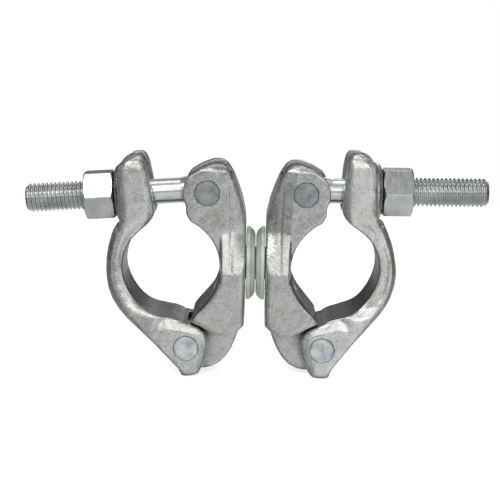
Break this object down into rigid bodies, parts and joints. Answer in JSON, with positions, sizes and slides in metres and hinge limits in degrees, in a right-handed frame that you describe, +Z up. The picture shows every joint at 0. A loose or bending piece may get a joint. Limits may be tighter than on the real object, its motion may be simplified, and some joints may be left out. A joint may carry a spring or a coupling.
{
  "type": "scaffold coupler clamp",
  "caption": "Swivel coupler of two drop forged half couplers for scaffold tube, each with a hinged flap that an eye bolt, domed washer and nut close.",
  "frame": {"origin": "on the floor midway between the two flap toes that it stands on, under the swivel axis", "axes": "+X along the swivel axis and both bolts, towards the right half; +Y along the gripped tubes; +Z up, from the flap hinges to the bolts"},
  "size_m": [0.2214, 0.043, 0.1075],
  "materials": {
    "forging": "hot dip galvanised drop forging, mottled and slightly rough, softly shiny",
    "bright_zinc": "bright zinc plate, smooth and shiny",
    "peened_pin": "dull bluish zinc over a peened pin end",
    "swivel_zinc": "smooth greenish zinc"
  },
  "bodies": {
    "left_half": {"left_body": "forging", "left_bolt_pin": "peened_pin", "left_swivel_washer": "swivel_zinc", "swivel_rivet": "peened_pin"},
    "left_flap": {"left_flap": "forging", "left_hinge_pin": "peened_pin"},
    "left_bolt": {"left_eye_bolt": "bright_zinc"},
    "left_washer": {"left_washer": "bright_zinc"},
    "left_nut": {"left_nut": "bright_zinc"},
    "right_half": {"right_body": "forging", "right_bolt_pin": "peened_pin", "right_swivel_washer": "swivel_zinc"},
    "right_flap": {"right_flap": "forging", "right_hinge_pin": "peened_pin"},
    "right_bolt": {"right_eye_bolt": "bright_zinc"},
    "right_washer": {"right_washer": "bright_zinc"},
    "right_nut": {"right_nut": "bright_zinc"}
  },
  "joints": [
    {"name": "swivel", "type": "hinge", "parent": "left_half", "child": "right_half", "pos_m": [0, 0, 0.0526], "axis": [1, 0, 0], "continuous": true},
    {"name": "left_flap_hinge", "type": "hinge", "parent": "left_half", "child": "left_flap", "pos_m": [-0.0324, 0, 0.0139], "axis": [0, -1, 0], "range_deg": [0, 16]},
    {"name": "left_bolt_swing", "type": "hinge", "parent": "left_half", "child": "left_bolt", "pos_m": [-0.0232, 0, 0.0883], "axis": [0, 1, 0], "range_deg": [0, 95]},
    {"name": "left_washer_slide", "type": "slide", "parent": "left_bolt", "child": "left_washer", "axis": [-0.9974, 0, -0.0715], "range_m": [0, 0.028]},
    {"name": "left_nut_turn", "type": "hinge", "parent": "left_washer", "child": "left_nut", "pos_m": [-0.0232, 0, 0.0883], "axis": [-0.9974, 0, -0.0715], "range_deg": [0, 5040]},
    {"name": "right_flap_hinge", "type": "hinge", "parent": "right_half", "child": "right_flap", "pos_m": [0.0324, 0, 0.0139], "axis": [0, 1, 0], "range_deg": [0, 19.43]},
    {"name": "right_bolt_swing", "type": "hinge", "parent": "right_half", "child": "right_bolt", "pos_m": [0.0232, 0, 0.0883], "axis": [0, -1, 0], "range_deg": [0, 95]},
    {"name": "right_washer_slide", "type": "slide", "parent": "right_bolt", "child": "right_washer", "axis": [1, 0, 0.0052], "range_m": [0, 0.034]},
    {"name": "right_nut_turn", "type": "hinge", "parent": "right_washer", "child": "right_nut", "pos_m": [0.0232, 0, 0.0883], "axis": [1, 0, 0.0052], "range_deg": [0, 6120]}
  ],
  "couplings": [
    {"joint": "left_washer_slide", "follows": "left_nut_turn", "m_per_rad": 0.00031831},
    {"joint": "left_flap_hinge", "follows": "left_nut_turn", "ratio": 0.0031746},
    {"joint": "right_washer_slide", "follows": "right_nut_turn", "m_per_rad": 0.00031831},
    {"joint": "right_flap_hinge", "follows": "right_nut_turn", "ratio": 0.0031746}
  ]
}
